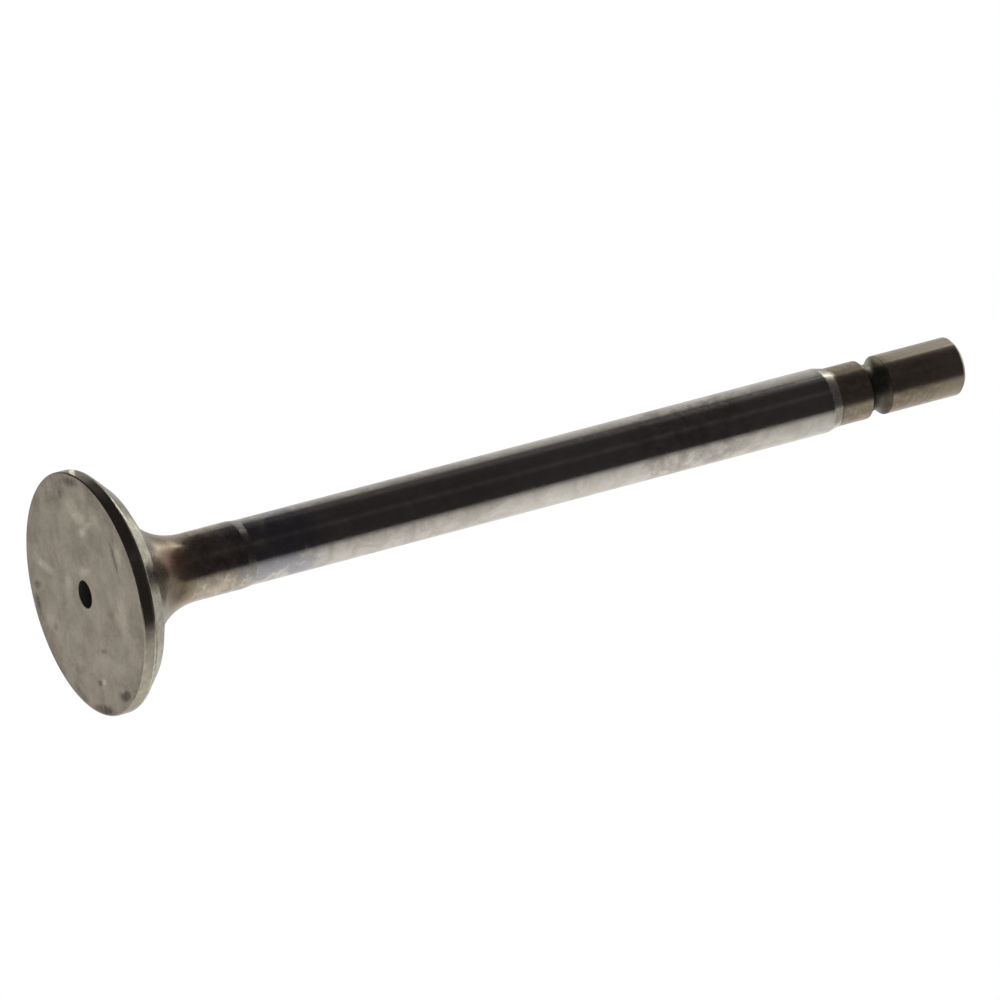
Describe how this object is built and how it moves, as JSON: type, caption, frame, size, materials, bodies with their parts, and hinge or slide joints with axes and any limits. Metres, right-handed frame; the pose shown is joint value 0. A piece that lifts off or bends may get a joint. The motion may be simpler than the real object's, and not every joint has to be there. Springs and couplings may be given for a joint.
{
  "type": "engine valve",
  "caption": "Poppet valve: a flat disc head with a conical seat, a wide fillet into a long ground stem, and a round keeper groove near the tip.",
  "frame": {"origin": "middle of the head's flat face", "axes": "+Z runs from the face up the stem to the tip; X and Y are equal, because the valve is round"},
  "size_m": [0.0408, 0.0408, 0.165],
  "materials": {
    "valve_steel": "ground stem, matt stained face, as-forged underside"
  },
  "bodies": {
    "root": {"valve": "valve_steel"}
  },
  "joints": []
}
